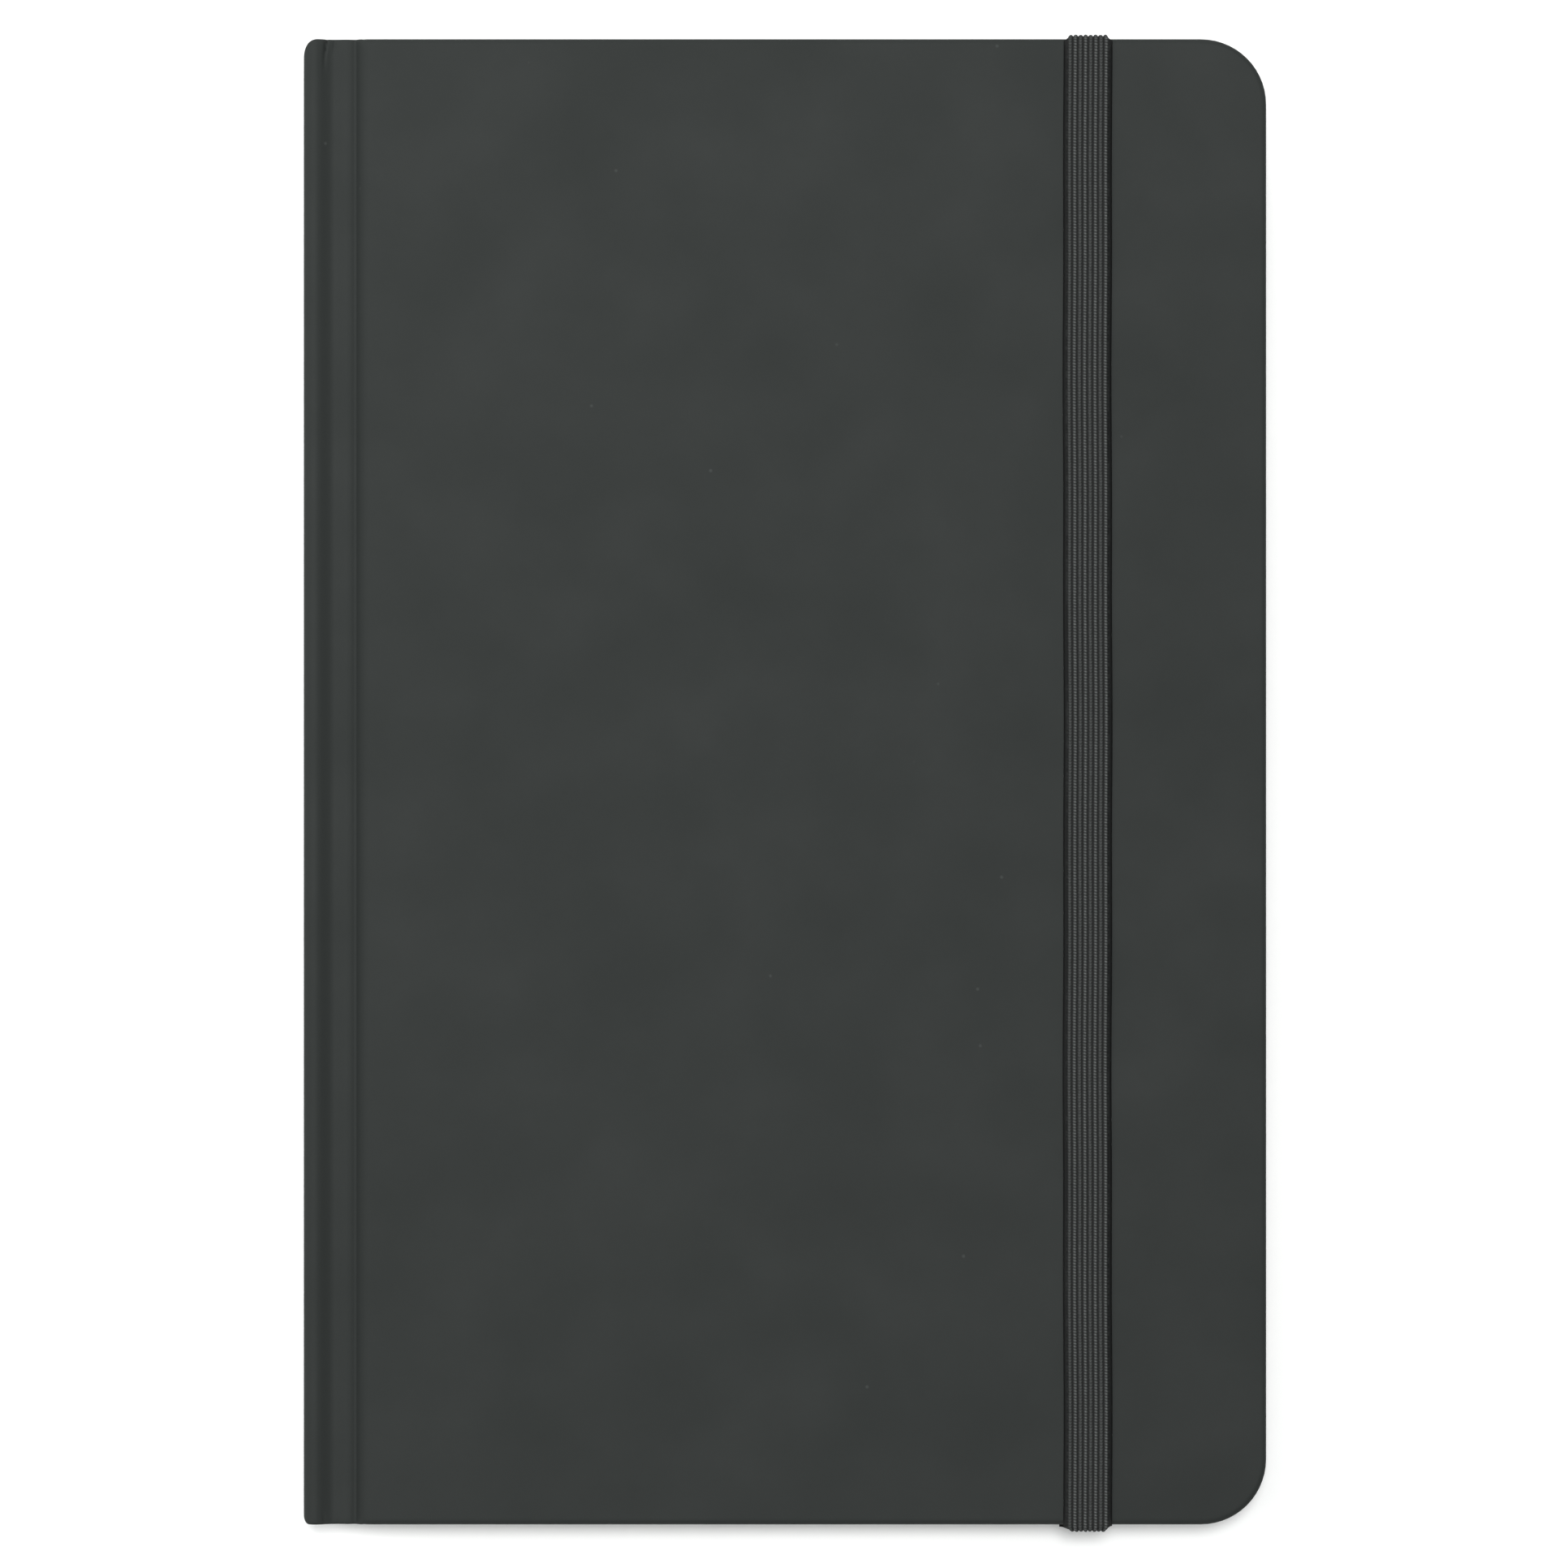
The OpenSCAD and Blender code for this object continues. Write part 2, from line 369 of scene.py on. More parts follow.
def paper_material(name, light, dark):
    """Uncoated drawing paper: warm, with soft cloudy formation and fine tooth."""
    m = Nodes(name)
    cloud = m.noise(160, detail=5, roughness=0.6)
    m.base(m.colours(cloud, (0.3, dark), (0.7, light)))
    m.normal(m.bump(m.noise(2400, detail=3), 0.25, 0.04))
    m.set(Roughness=0.85, Specular_IOR_Level=0.25)
    return m.material


def board_material():
    """Grey board: flecked recycled fibre."""
    m = Nodes("grey_board")
    flecks = m.noise(1400, detail=4, vector=m.scaled(1, 1, 0.3))
    m.base(m.colours(flecks, (0.3, (0.17, 0.155, 0.13)), (0.7, (0.31, 0.29, 0.25))))
    m.normal(m.bump(flecks, 0.4, 0.08))
    m.set(Roughness=0.9)
    return m.material


def kraft_material():
    """Brown kraft paper, streaked along the spine."""
    m = Nodes("kraft_lining")
    streaks = m.noise(500, detail=4, vector=m.scaled(1, 0.15, 1))
    m.base(m.colours(streaks, (0.3, (0.26, 0.15, 0.075)), (0.7, (0.38, 0.25, 0.14))))
    m.normal(m.bump(streaks, 0.3, 0.05))
    m.set(Roughness=0.85)
    return m.material


def gauze_material():
    """Open starched gauze over glue: crossed threads about a millimetre apart."""
    m = Nodes("mull_gauze")
    weave = m.math("MAXIMUM", m.wave(320, "Y"), m.wave(320, "Z"))
    m.base(m.colours(weave, (0.4, (0.33, 0.27, 0.17)), (0.8, (0.74, 0.71, 0.62))))
    m.normal(m.bump(weave, 0.6, 0.15))
    m.set(Roughness=0.9)
    return m.material


def end_band_material():
    """Woven head band with narrow grey and cream stripes."""
    m = Nodes("end_band_silk")
    stripes = m.wave(170, "Z")
    m.base(m.colours(stripes, (0.42, (0.06, 0.063, 0.062)), (0.58, (0.62, 0.58, 0.5))))
    m.normal(m.bump(m.wave(900, "Z"), 0.5, 0.08))
    m.set(Roughness=0.6)
    return m.material


def thread_material():
    """Twisted linen thread."""
    m = Nodes("thread")
    twist = m.wave(1500, "Z", distortion=1.0)
    m.base(m.colours(twist, (0.2, (0.6, 0.56, 0.47)), (0.8, (0.8, 0.77, 0.7))))
    m.normal(m.bump(twist, 0.6, 0.06))
    m.set(Roughness=0.7)
    return m.material


CLOTH = cover_cloth_material()
ELASTIC = elastic_material()
PAPER = paper_material("page_paper", (0.64, 0.615, 0.55), (0.61, 0.58, 0.515))
ENDPAPER = paper_material("endpaper", (0.60, 0.575, 0.515), (0.57, 0.545, 0.485))
BOARD = board_material()
KRAFT = kraft_material()
GAUZE = gauze_material()
END_BAND = end_band_material()
THREAD = thread_material()


# ---------------------------------------------------------------- cloth case

LIP_END = 1.6        # where the spine's lip starts to fall into the joint, from the spine's outside
JOINT_DEPTH = 1.2
JOINT_FALL = 2.9     # width of the fall
FOOT = 7.6           # foot of the board's rounded edge
FOOT_RISE = 2.4      # width of that edge
SWELL = 0.16         # height of the soft ridge along the floor of the joint
SWELL_AT = 6.2
SWELL_HALF = 0.9
CREASE_DEPTH = 0.12  # crease at the board's foot
CREASE_HALF = 0.4
JOINT_T = 0.85       # cloth, paper and gauze in the joint
SPINE_T = 1.5        # cloth and board in the spine
BOARD_EDGE = 8.3     # where the thickness of the board comes in
BOARD_RUN = 0.7
RIM = 0.8            # radius of the cloth over the board's edges
TURNED_RIM = 0.5     # radius where it turns in
FLAT_INSETS = [9.5, 7, 5, 4.2, 3.5, 2.9, 2.4, 2, 1.6, 1.3, 1.05]
# Pinched creases of the joint: side, distance from the spine, length and depth
WRINKLES = [(1, 3.35, 5.2, 0.42), (1, 4.6, 2.6, 0.2), (-1, 3.1, 2.6, 0.12), (-1, 5.0, 1.8, 0.08)]
WRINKLE_HALF = 0.19
CHANNEL_DEPTH = 0.72  # channel and slit for the elastic in the back cover
CHANNEL_RAMP = 0.5
SPINE_CORNERS = [(1, 2.1), (-1, 0.8)]  # side and radius, as seen from above


def joint_dip(rel):
    """Depth of the joint groove at a distance from the outside of the spine."""
    fall = smooth((rel - LIP_END) / JOINT_FALL)
    up = np.clip((rel - FOOT) / FOOT_RISE, 0, 1)
    crease = CREASE_DEPTH * np.exp(-(((rel - FOOT + 0.1) / CREASE_HALF) ** 2))
    swell = SWELL * np.exp(-(((rel - SWELL_AT) / SWELL_HALF) ** 2))
    return JOINT_DEPTH * fall * (1 - up) ** 2.2 + crease - swell


def turn_in_steps(edge, count):
    """Places across the end of the turned-in cloth, measured in from an edge of the cover."""
    return edge - TURN_IN + np.linspace(-TURN_RAMP, TURN_RAMP, count)


def turned_step(x, y):
    """How far the inside of a cover drops where the turned-in cloth ends."""
    inside_x = smooth((FORE_X - TURN_IN - x) / TURN_RAMP + 0.5)
    inside_y = smooth((HALF_H - TURN_IN - np.abs(y)) / TURN_RAMP + 0.5)
    on_board = smooth((x - BOARD_X + 0.9) / 0.5)
    return CLOTH_T * inside_x * inside_y * on_board


def profile_places():
    """Places across the case, measured from the spine, close together where it isn't flat."""
    beside_band = BAND_X - SPINE_X + 3.25 * np.array([[-1], [1]]) + [-0.3, 0, 0.3]
    last = FORE_X - SPINE_X - CORNER_R
    places = merge([np.arange(SHOULDER_R, 10.6, 0.16), np.linspace(11, 40, 5), np.linspace(60, 100, 4),
                    beside_band.ravel(), turn_in_steps(FORE_X - SPINE_X, 5), last])
    return places[places <= last + 1e-6]


def case_profile():
    """Outside of the case from mid-spine to the fore-edge zone: points, inward directions, thicknesses."""
    back = np.linspace(BOOK_T / 2, BOOK_T - SHOULDER_R, 8)[:-1]
    turn = np.radians(np.linspace(180, 90, 13)[:-1])
    rel = profile_places()
    top = BOOK_T - joint_dip(rel)
    x = np.r_[np.full(len(back), SPINE_X), SPINE_X + SHOULDER_R + SHOULDER_R * np.cos(turn), SPINE_X + rel]
    z = np.r_[back, BOOK_T - SHOULDER_R + SHOULDER_R * np.sin(turn), top]
    inward_x = np.r_[np.ones(len(back)), -np.cos(turn), np.zeros(len(rel))]
    inward_z = np.r_[np.zeros(len(back)), -np.sin(turn), -np.ones(len(rel))]
    flat = JOINT_T + (top - COVER_LOW[2] - JOINT_T) * smooth((rel - BOARD_EDGE) / BOARD_RUN)
    thick = np.r_[np.full(len(back), SPINE_T), np.linspace(SPINE_T, JOINT_T, len(turn)), flat]
    return x, z, inward_x, inward_z, thick


def rim_section(thick):
    """Insets and depths from the flat outside, over the rounded rim, to the turned-in inside."""
    flat = np.array(FLAT_INSETS)
    outer = min(RIM, 0.45 * thick)
    inner = min(TURNED_RIM, 0.4 * thick)
    turn = np.radians(np.linspace(0, 90, 7))
    wall = np.linspace(outer, thick - inner, 4)[1:-1]
    insets = np.r_[flat, outer * (1 - np.sin(turn)), 0 * wall, inner * (1 - np.cos(turn)), flat[::-1]]
    under = thick - inner * (1 - np.sin(turn))
    depths = np.r_[0 * flat, outer * (1 - np.cos(turn)), wall, under, 0 * flat + thick]
    return insets, depths


def wrinkles(x, y):
    """Depth of the small pinched creases where the joint meets the head and the tail."""
    depth = np.zeros(np.broadcast(x, y).shape)
    for side, place, length, deep in WRINKLES:
        away = HALF_H - side * y
        line = SPINE_X + place - 0.14 * away + 0.012 * away * away
        falloff = smooth(1 - away / length)
        depth = depth + deep * falloff * np.exp(-(((x - line) / WRINKLE_HALF) ** 2))
    return depth


def slit_depth(x, y):
    """Depth of the channel and slit that hold each end of the elastic in the back cover."""
    across = smooth((BAND_W / 2 + CHANNEL_RAMP - np.abs(x - BAND_X)) / CHANNEL_RAMP)
    along = smooth((np.abs(y) - SLIT_Y) / 0.3 + 1)
    return CHANNEL_DEPTH * across * along


def round_spine_corners(x, y):
    """Y with the case's spine corners rounded as seen from above, the head's more than the tail's."""
    for side, radius in SPINE_CORNERS:
        into = np.clip(1 - (x - SPINE_X) / radius, 0, 1)
        trim = radius * (1 - np.sqrt(1 - into ** 2))
        y = np.where(side * y > 0, y * (1 - trim / HALF_H), y)
    return y


def case_rows():
    """Places along the case's height, close together where the turned-in cloth and the slits end."""
    half = HALF_H - CORNER_R
    steps = np.r_[turn_in_steps(HALF_H, 5), SLIT_Y + np.linspace(-0.3, 0.1, 3)]
    ys = merge([np.linspace(-HALF_H, HALF_H, 35), steps, -steps])
    return merge([ys[np.abs(ys) < half], half, -half])


def case_rim(profile, ys):
    """The case's edge, from the tail of the spine round the fore edge to the head of the spine."""
    x, z, inward_x, inward_z = (line[:, None] for line in profile[:4])
    sections = np.array([rim_section(t) for t in profile[4]])
    insets, depths = sections[:, 0], sections[:, 1]
    half = HALF_H - CORNER_R
    reach = CORNER_R - insets[-1]
    fore_z = BOOK_T - depths[-1]

    def straight(side):
        return surface(x + inward_x * depths, side * (HALF_H - insets), z + inward_z * depths)

    def corner(first_angle, centre_y):
        a = np.radians(np.linspace(first_angle, first_angle + 90, 15)[1:-1])[:, None]
        return surface(FORE_X - CORNER_R + reach * np.cos(a), centre_y + reach * np.sin(a), fore_z)

    fore = surface(FORE_X - insets[-1], ys[:, None], fore_z)
    return np.concatenate([straight(-1), corner(-90, -half), fore, corner(0, half), straight(1)[::-1]])


def press(points, back):
    """The joint's creases, the elastic's channel on the back cover, and the round spine corners."""
    x, y, z = (points[..., i] for i in range(3))
    creased = (z > BOOK_T - 1.6) & (x > SPINE_X + 1.2)
    z = z - np.where(creased, wrinkles(x, y), 0)
    if back:
        z = z - np.where(z > BOOK_T - 0.9, slit_depth(x, y), 0)
        z = BOOK_T - z
    return surface(x, round_spine_corners(x, y), z)


def case_half(name, back):
    """One cover's cloth, from the middle of the spine round the board and turned in, as one closed skin."""
    profile = case_profile()
    x, z, inward_x, inward_z, thick = (line[:, None] for line in profile)
    ys = case_rows()
    outer = surface(x, ys, z)
    inner = surface(x + inward_x * thick, ys, z + inward_z * thick + turned_step(x, ys))
    cap = np.stack([outer[0], inner[0]])
    sheet = Sheet()
    for points, flip in ((case_rim(profile, ys), False), (outer, True), (inner, False), (cap, False)):
        sheet.grid(press(points, back), flip)
    return sheet.piece(name, sharp=50)


front_case = paint(case_half("front_case_cloth", back=False), CLOTH)
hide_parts("front_cover_cloth", "front_joint_cloth", "spine_cloth")
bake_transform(front_case)

back_case = paint(case_half("back_case_cloth", back=True), CLOTH)
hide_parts("back_cover_cloth", "back_joint_cloth", "spine_cloth")
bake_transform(back_case)


def make_spine_strip():
    """Thin board inside the cloth of the spine."""
    trim, seat, bevel = 0.7, 0.05, 0.15
    low, high = box_mm("spine_strip")
    ys = np.linspace(low[1] + trim, high[1] - trim, 15)
    zs = np.r_[low[2], low[2] + 0.2, np.linspace(low[2] + 1, high[2] - 1, 6), high[2] - 0.2, high[2]]
    y, z = np.meshgrid(ys, zs, indexing="ij")
    rounding = bevel * (np.abs(z - (low[2] + high[2]) / 2) > (high[2] - low[2]) / 2 - 0.1)
    sheet = Sheet()
    sheet.skin(surface(low[0] + seat + rounding, y, z), surface(high[0] - seat - rounding, y, z))
    strip = paint(sheet.piece("spine_strip_board", sharp=50), BOARD)
    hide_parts("spine_strip")
    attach(strip, "page_block")


make_spine_strip()


# -------------------------------------------------------------- elastic band

RIBS = 8
STITCH = 0.43        # length of one stitch
RIB_RISE = 0.3       # depth of the gaps between ribs
EDGE_DROP = 0.12     # how much the band's long edges round off
DARK = 0.25          # relief value of the shaded sides and the inside
SIDE_SHADE = 0.4     # relief value where the sides begin
SHADOW_LEAN_OUT = 0.55      # how far the band's dark sides lie out over the cover, as a painted contact shadow
BEND_R = 0.9
COVER_GAP = 0.08     # between the band and the edges of the cover
TAIL_REACH = 109.05  # the band bulges further over the tail than over the head
HEAD_REACH = 108.62
TAIL_LEG = 108.6     # lower part of the tail leg
LEG_FOOT = 0.75
LEG_TOP = 17.9
LEG_T = 0.3
END_T = 0.5
STEP = 0.108  # length of the mesh along the band


def band_relief(along, across):
    """Height of the knit above the gaps, 0 to 1, by place on the band in millimetres."""
    rib = BAND_W / RIBS
    count = np.floor((across + BAND_W / 2) / rib)
    c = ((across + BAND_W / 2) / rib - count) * 2 - 1
    crown = 1 - np.abs(c) ** 2.4
    beaded = (count % 2) == 1
    bead = 0.5 + 0.5 * np.cos(2 * np.pi * (along / STITCH + 0.18 * c))
    slant = 0.5 + 0.5 * np.cos(2 * np.pi * (along / STITCH - 0.55 * np.abs(c)))
    return crown * np.where(beaded, 0.5 + 0.5 * bead, 0.5 + 0.32 * slant)


def rounded_line(corners, radii):
    """Even steps in Y and Z along a line with round corners: lengths, points and outward directions."""
    corners = np.array(corners, float)
    points = [corners[0]]
    for before, corner, after, radius in zip(corners, corners[1:], corners[2:], radii):
        a = (before - corner) / np.linalg.norm(before - corner)
        b = (after - corner) / np.linalg.norm(after - corner)
        half = math.acos(np.clip(a @ b, -1, 1)) / 2
        centre = corner + (a + b) / np.linalg.norm(a + b) * radius / math.sin(half)
        start, end = corner + a * radius / math.tan(half), corner + b * radius / math.tan(half)
        for t in np.linspace(0, 1, 13):
            ray = (start - centre) * (1 - t) + (end - centre) * t
            points.append(centre + ray / np.linalg.norm(ray) * radius)
    points = np.array(points + [corners[-1]])
    lengths = np.r_[0, np.cumsum(np.linalg.norm(np.diff(points, axis=0), axis=1))]
    s = np.linspace(0, lengths[-1], int(round(lengths[-1] / STEP)) + 1)
    y, z = (np.interp(s, lengths, points[:, i]) for i in (0, 1))
    ty, tz = np.gradient(y, s), np.gradient(z, s)
    size = np.hypot(ty, tz)
    return s, y, z, -tz / size, ty / size


def band_mesh(name, line, thick, centre, width, lean_out):
    """Band swept along a line: ribs and stitches outside, plain inside painted dark as shade, and sides
    painted dark that lean out over the cover as a painted contact shadow.
    """
    s, y, z, ny, nz = line
    thick, centre, width = (np.broadcast_to(v, s.shape)[:, None] for v in (thick, centre, width))
    across = np.linspace(-0.5, 0.5, RIBS * 7 + 1)[None, :]
    relief = band_relief(s[:, None], across * BAND_W)
    edge = smooth((np.abs(across) * BAND_W - BAND_W / 2 + 0.25) / 0.25)
    ny, nz = ny[:, None], nz[:, None]

    def at(side_x, depth):
        """Points beside the middle of the band, at a depth under its top."""
        return surface(centre + side_x, y[:, None] - ny * depth, z[:, None] - nz * depth)

    drop = np.minimum(RIB_RISE * (1 - relief) + EDGE_DROP * edge, 0.7 * thick)
    outside = at(across * width, drop)
    sheet = Sheet()
    sheet.grid(outside, value=relief)
    feet = []
    for column, side in ((0, -1), (-1, 1)):
        lean = lean_out * nz ** 2
        edge_drop = drop[:, [column]]
        upper = at(side * (width / 2 + 0.4 * lean), edge_drop + 0.3 * (thick - edge_drop))
        foot = at(side * (width / 2 + lean), thick)
        strip = np.concatenate([outside[:, [column]], upper, foot], 1)
        # painted shadow: the sides take the dark shade values, standing in for the band's shadow on the
        # cover
        shade = np.tile([SIDE_SHADE, DARK, DARK], (len(s), 1))
        sheet.grid(strip, flip=side > 0, value=shade)
        feet.append(foot)
    sheet.grid(np.concatenate(feet, 1), flip=True, value=np.full((len(s), 2), DARK))
    for end in (0, -1):
        share = across[0][:, None] + 0.5
        inner = feet[0][end] * (1 - share) + feet[1][end] * share
        sheet.grid(np.stack([outside[end], inner]), value=np.full((2, len(share)), DARK))
    return paint(sheet.piece(name, attribute="relief", weld=1e-4), ELASTIC)


def crumple(piece):
    """Gives the piece its own copy of its mesh."""
    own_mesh(piece)


def make_strand():
    """The part over the cover, with the outer layer of both legs."""
    top = BAND_HIGH[2]
    corners = [(-TAIL_LEG, LEG_FOOT), (-TAIL_LEG, 13.5), (-TAIL_REACH, 17.2), (-TAIL_REACH, top),
               (HEAD_REACH, top), (HEAD_REACH, LEG_FOOT)]
    line = rounded_line(corners, [1, 1, BEND_R, BEND_R])
    s, y, z, ny, nz = line
    tail = y < 0
    thick = np.abs(ny) * (np.abs(y) - HALF_H - COVER_GAP) + np.abs(nz) * (z - BOOK_T - 0.03)
    depth = smooth((LEG_TOP - 0.4 - z) / 4) * tail
    lean = -depth * (1 - 0.8 * smooth((12 - z) / 10))
    wander = 0.05 * np.sin(s / 17.0) + 0.03 * np.sin(s / 5.3 + 1)
    gather = np.where(tail, 0.45, 0.12) * np.abs(ny) ** 3 * (1 - depth)
    centre = BAND_X + wander + lean
    strand = band_mesh("elastic_strand_knit", line, thick, centre, BAND_W - 2 * gather, SHADOW_LEAN_OUT)
    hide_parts("elastic_strand")
    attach(strand, "elastic_strand")
    crumple(strand)


def make_leg(side, name):
    """The layer of a leg that shows when the band is drawn up."""
    reach = HALF_H + 0.42
    ends = [(reach, LEG_TOP), (reach, LEG_FOOT)] if side > 0 else [(-reach, LEG_FOOT), (-reach, LEG_TOP)]
    centre = BAND_X if side > 0 else BAND_X - 0.5
    leg = band_mesh(name + "_knit", rounded_line(ends, []), LEG_T, centre, BAND_W - 1, 0.1)
    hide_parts(name)
    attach(leg, "elastic_legs")
    crumple(leg)


def make_end(side, name):
    """Under the edge of the back cover, up through the slit and along the inside of the board."""
    corners = [(HALF_H + 0.6, 1.1), (HALF_H + 0.6, 0.1), (SLIT_Y, 0.1), (SLIT_Y, 1.8), (END_LOW[1], 1.8)]
    line = rounded_line(corners, [0.55, 0.3, 0.3])
    if side < 0:
        s, y, z, ny, nz = line
        line = (s, -y, z, -ny, nz)
    end = band_mesh(name + "_knit", line, END_T, BAND_X, BAND_W, 0.1)
    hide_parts(name)
    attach(end, "back_cover")


make_strand()
for side, end_name in ((1, "head"), (-1, "tail")):
    make_leg(side, "elastic_leg_" + end_name)
    make_end(side, "elastic_end_" + end_name)


# ------------------------------------------------------------ leaves and papers

PAPER_T = LEAF_T - 0.015    # leaves a sliver of air between the leaves
HINGE_T = 0.05
BEND_WIDTH = 16             # zone with close columns


def corner_inset(x, edge, radius):
    """How much lower a leaf is at x, beside its round fore-edge corners."""
    into = np.clip((x - edge + radius) / radius, 0, 1)
    return radius * (1 - np.sqrt(1 - into ** 2))


def corner_columns(edge, count):
    """Places across the round fore-edge corners of a leaf."""
    return edge - PAGE_CORNER_R + PAGE_CORNER_R * np.sin(np.radians(np.linspace(0, 90, count)))


def leaf_columns(start, edge, *extra):
    """Places across a leaf, close together where it bends and at its round corners."""
    bend = start + np.linspace(0, BEND_WIDTH, 25)
    flat = np.linspace(start + BEND_WIDTH, edge - PAGE_CORNER_R, 9)
    return merge([bend, flat, corner_columns(edge, 9), *extra])


def turned_in_rows():
    """Places along an endpaper's height, close together where the turned-in cloth ends."""
    step_y = turn_in_steps(HALF_H, 7)
    return merge([np.linspace(-PAGE_HALF, PAGE_HALF, 13), step_y, -step_y])


def leaf_mesh(name, lift, edge=PAGE_X, thick=PAPER_T, xs=None, ys=None):
    """Thin closed sheet of paper; lift gives the height of its lower face."""
    xs = leaf_columns(FOLD_X + 0.1, edge) if xs is None else xs
    ys = np.linspace(-PAGE_HALF, PAGE_HALF, 13) if ys is None else ys
    x = np.broadcast_to(xs[:, None], (len(xs), len(ys)))
    y = ys[None, :] * (1 - corner_inset(x, edge, PAGE_CORNER_R) / PAGE_HALF)
    low = surface(x, y, lift(x, y))
    sheet = Sheet()
    sheet.skin(low, low + [0, 0, thick])
    return sheet.piece(name, sharp=40)


def make_turning_leaf(node):
    """A turning leaf, as a flat sheet with its fore edge trimmed a little."""
    low, _ = box_mm(node)
    trim = random.uniform(-0.06, 0.03)
    leaf = paint(leaf_mesh(node + "_paper", lambda x, y: low[2], edge=PAGE_X + trim), PAPER)
    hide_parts(node)
    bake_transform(leaf)


def add_folio(sheet, low_z, high_z, fold_x):
    """One folded sheet of a section: lower leaf, round fold and upper leaf."""
    edge = PAGE_X + random.uniform(-0.07, 0.04)
    half = PAGE_HALF + random.uniform(-0.04, 0.03)
    radius = (high_z - low_z) / 2
    xs = merge([np.linspace(fold_x + radius, edge - PAGE_CORNER_R, 6), corner_columns(edge, 7)])
    ys = np.linspace(-half, half, 9)
    turn = np.radians(np.linspace(-90, -270, 9))[1:-1]

    def side(inset):
        x = np.r_[xs[::-1], fold_x + radius + (radius - inset) * np.cos(turn), xs][:, None]
        round_z = (low_z + high_z) / 2 + (radius - inset) * np.sin(turn)
        z = np.r_[np.full(len(xs), low_z + inset), round_z, np.full(len(xs), high_z - inset)][:, None]
        return surface(x, ys * (1 - corner_inset(x, edge, PAGE_CORNER_R) / half), z)

    sheet.skin(side(0), side(PAPER_T))


def make_section(node):
    """A sewn section of nested folded sheets."""
    low, high = box_mm(node)
    sheet = Sheet()
    folios = int(round((high[2] - low[2]) / LEAF_T / 2))
    for i in range(folios):
        add_folio(sheet, low[2] + i * LEAF_T, high[2] - i * LEAF_T, FOLD_X + i * LEAF_T)
    section = paint(sheet.piece(node + "_folios", weld=1e-4, sharp=40), PAPER)
    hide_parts(node)
    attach(section, "page_block")


def make_pastedown(node, body, front):
    """Endpaper glued inside a cover; the edge of the turned-in cloth shows through it."""
    low, high = box_mm(node)
    xs = leaf_columns(low[0], high[0], turn_in_steps(FORE_X, 7))

    def lift(x, y):
        step = turned_step(x, y)
        return low[2] + step if front else high[2] - PAPER_T - step

    sheet = leaf_mesh(node + "_paper", lift, edge=high[0], xs=xs, ys=turned_in_rows())
    paint(sheet, ENDPAPER)
    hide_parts(node)
    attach(sheet, body)


def make_hinge_paper(name, front):
    """The endpaper's strip across the joint, between the pastedown and the gutter."""
    start, end = FOLD_X + 0.2, PASTE_LOW[0] + 0.3
    start_z = PASTE_LOW[2] - 0.06 if front else BOOK_T - PASTE_LOW[2] + 0.01

    def lift(x, y):
        climb = (0.04 + turned_step(end, y)) * smooth((x - start - 1) / 4)
        return start_z + climb if front else start_z - climb

    strip = leaf_mesh(name, lift, thick=HINGE_T, xs=np.linspace(start, end, 25), ys=turned_in_rows())
    paint(strip, ENDPAPER)
    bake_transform(strip)


for leaf_node in ("front_flyleaf", "leaf_1", "leaf_2", "leaf_3"):
    make_turning_leaf(leaf_node)
for number in range(1, 11):
    make_section("signature_%02d" % number)
make_pastedown("front_pastedown", "front_cover", front=True)
make_pastedown("back_pastedown", "back_cover", front=False)
make_hinge_paper("front_hinge_paper", front=True)
make_hinge_paper("back_hinge_paper", front=False)
back_fly = paint(leaf_mesh("back_flyleaf_paper", lambda x, y: BACK_FLY_LOW[2]), PAPER)
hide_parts("back_flyleaf")
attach(back_fly, "page_block")


# --------------------------------------------------------------- head and tail bands

WIND = 0.42          # pitch of the silk wound round each band
WIND_DEPTH = 0.09
TONGUE = 9.7         # how far the cloth tongue reaches in from the page edge
TONGUE_T = 0.28


def make_end_band(node, side):
    """Silk wound round a core in narrow rings, with a cloth tongue glued to the spine."""
    low, high = box_mm(node)
    radius = (high[0] - low[0]) / 2
    centre_x = low[0] + radius
    centre_y = side * (max(abs(low[1]), abs(high[1])) - radius)
    z = np.linspace(low[2], high[2], 8 * int((high[2] - low[2]) / WIND) + 1)
    ring = np.abs(np.cos(np.pi * (z - low[2]) / WIND))
    ends = np.minimum(1, np.sqrt(np.minimum(z - low[2], high[2] - z) / 0.25))
    reach = ((radius - WIND_DEPTH * ring) * ends)[:, None]
    turn = np.linspace(0, 2 * np.pi, 21)
    sheet = Sheet()
    sheet.grid(surface(centre_x + reach * np.cos(turn), centre_y + reach * np.sin(turn), z[:, None]))
    ys = side * np.linspace(PAGE_HALF - TONGUE, PAGE_HALF + 0.6, 12)
    back = surface(low[0], ys[:, None], np.linspace(low[2], high[2], 12))
    sheet.skin(back, back + [TONGUE_T, 0, 0])
    band = paint(sheet.piece(node + "_silk", sharp=60), END_BAND)
    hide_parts(node)
    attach(band, "page_block")


make_end_band("head_band", 1)
make_end_band("tail_band", -1)


# ---------------------------------------------------------------------- CAD nodes

# Every CAD node gets its slot's material, although only those that no piece replaces are shown
NODE_LOOKS = {
    "cover_cloth": CLOTH,
    "grey_board": BOARD,
    "endpaper": ENDPAPER,
    "page_paper": PAPER,
    "elastic_band": ELASTIC,
    "kraft_lining": KRAFT,
    "mull_gauze": GAUZE,
    "end_band_silk": END_BAND,
    "thread": THREAD,
}
for part in frame["record"]["subparts"]:
    paint(frame["nodes"][part["node"]], NODE_LOOKS[part["material_slot"]])


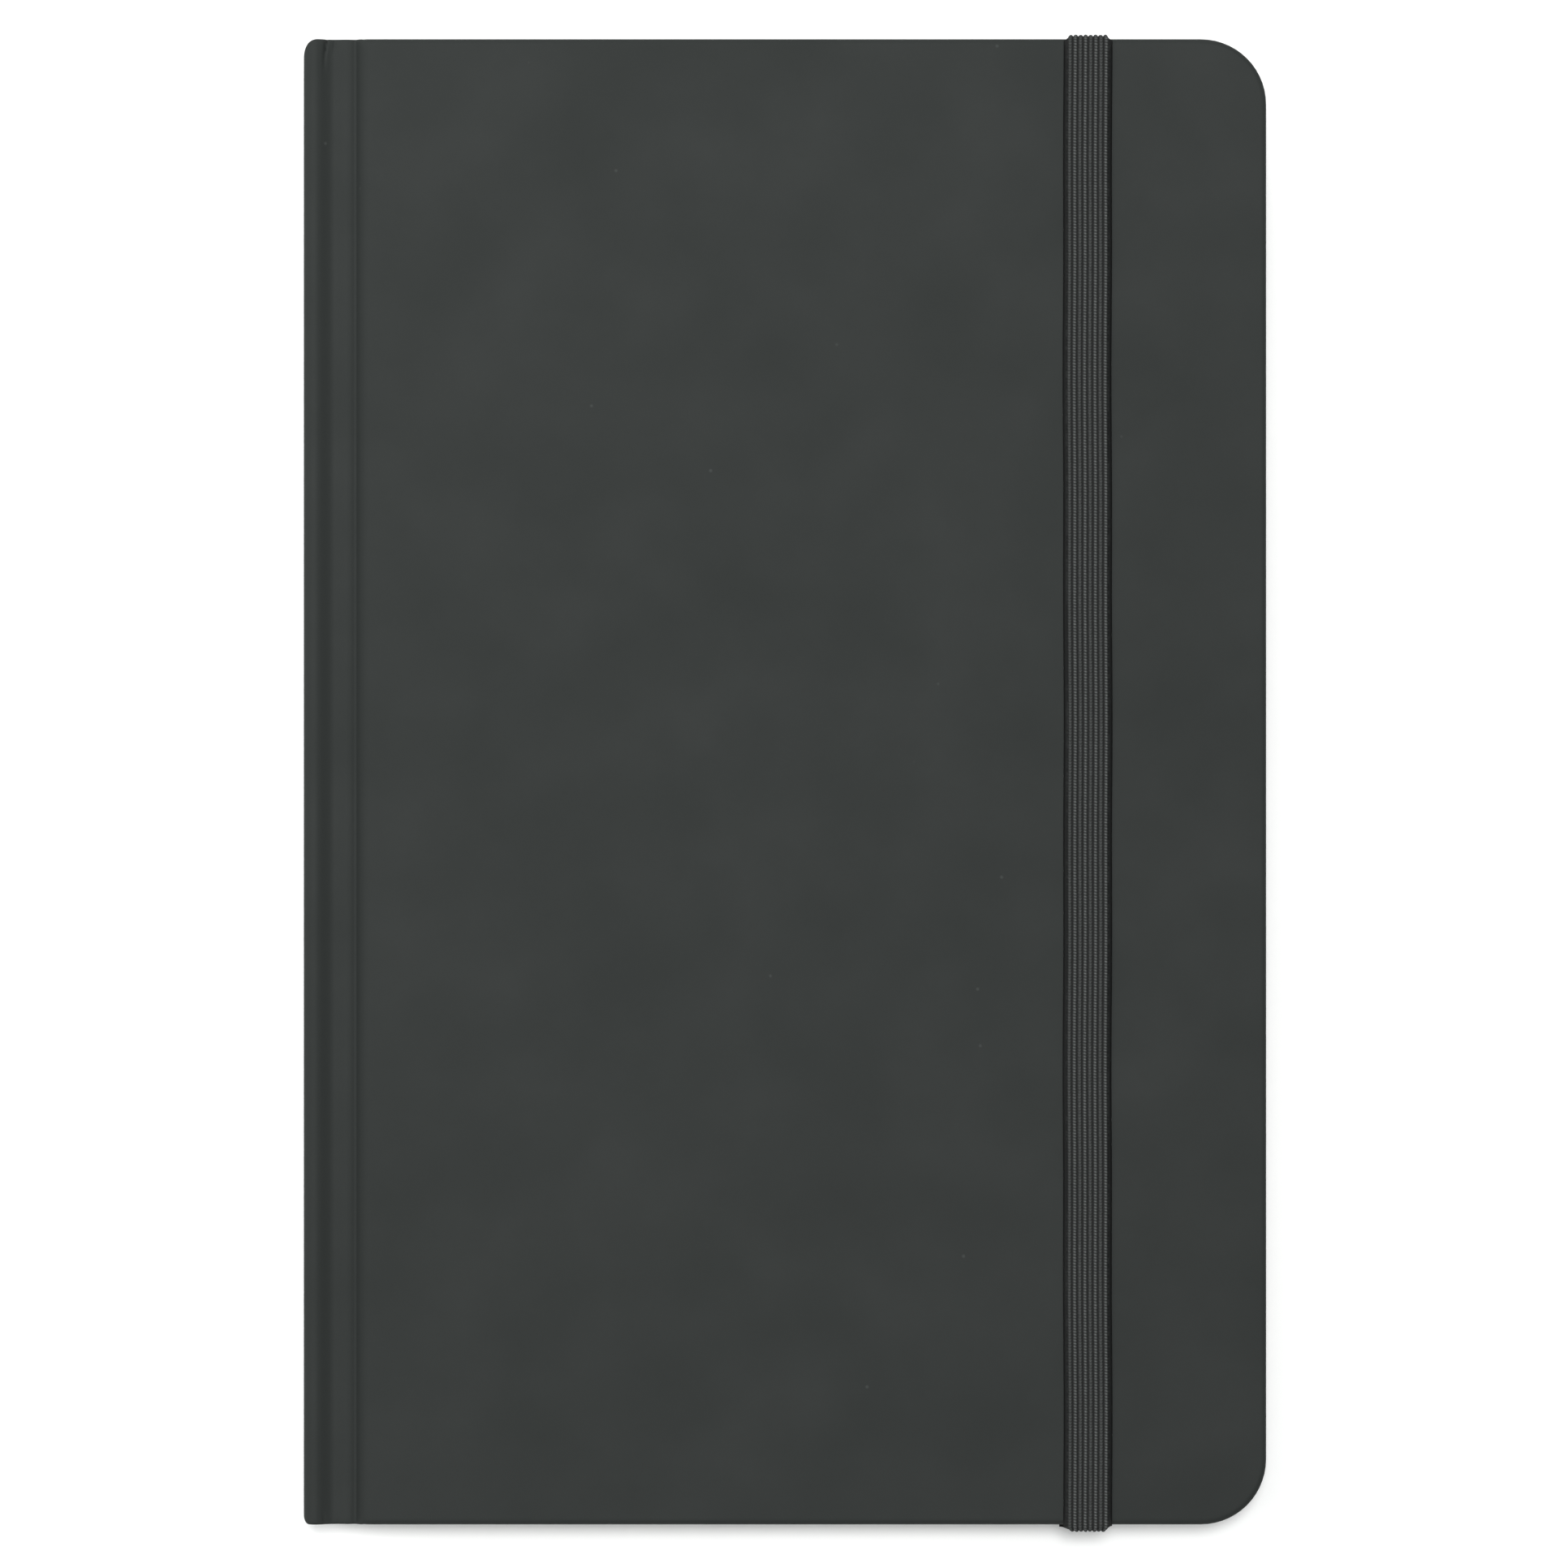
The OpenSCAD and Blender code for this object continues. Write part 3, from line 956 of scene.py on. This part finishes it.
# --------------------------------------------------------------- floor, light, camera

def floor_material():
    """Plain white paper backdrop."""
    m = Nodes("studio_floor")
    soft = m.noise(6, detail=2)
    m.base(m.colours(soft, (0.3, (0.965, 0.965, 0.965)), (0.7, (0.98, 0.98, 0.98))))
    m.set(Roughness=0.9, Specular_IOR_Level=0.1)
    return m.material


def add_floor():
    """Flat floor just below the resting plane."""
    sheet = Sheet()
    xs = np.linspace(-3000, 3000, 7)
    sheet.grid(surface(xs[:, None], xs, -0.02))
    floor = sheet.piece("studio_floor")
    floor.data.materials.append(floor_material())


def add_light(name, place, size, power):
    """Round softbox aimed at the middle of the book's resting place."""
    lamp = bpy.data.lights.new(name, "AREA")
    lamp.shape = "DISK"
    lamp.size = size
    lamp.energy = power
    light = bpy.data.objects.new(name, lamp)
    light.location = place
    light.rotation_euler = (-Vector(place)).to_track_quat("-Z", "Y").to_euler()
    bpy.context.scene.collection.objects.link(light)


def add_world(strength):
    """Even, slightly cool light from all round."""
    world = bpy.data.worlds.new("studio")
    world.use_nodes = True
    back = world.node_tree.nodes["Background"]
    back.inputs["Color"].default_value = (0.95, 1.0, 0.99, 1)
    back.inputs["Strength"].default_value = strength
    bpy.context.scene.world = world


def add_camera():
    """Straight down on the front cover through a long lens."""
    lens, sensor, field = 200.0, 36.0, 0.2279  # field: width seen at the cover, in metres
    data = bpy.data.cameras.new("camera")
    data.lens = lens
    data.sensor_width = sensor
    data.clip_end = 20
    camera = bpy.data.objects.new("camera", data)
    camera.location = (-0.00012, -0.00032, field * lens / sensor + BOOK_T * MM)
    bpy.context.scene.collection.objects.link(camera)
    bpy.context.scene.camera = camera


add_floor()
add_light("key_softbox", (0.06, 0.29, 3.0), 0.5, 53)
add_light("head_softbox", (-0.10, 1.0, 1.1), 1.0, 6.0)
add_light("left_softbox", (-1.0, 0.1, 1.0), 0.8, 9.0)
add_light("right_softbox", (1.0, 0.1, 1.0), 0.8, 2.5)
add_world(0.31)
add_camera()
bpy.context.scene.view_settings.view_transform = "Standard"
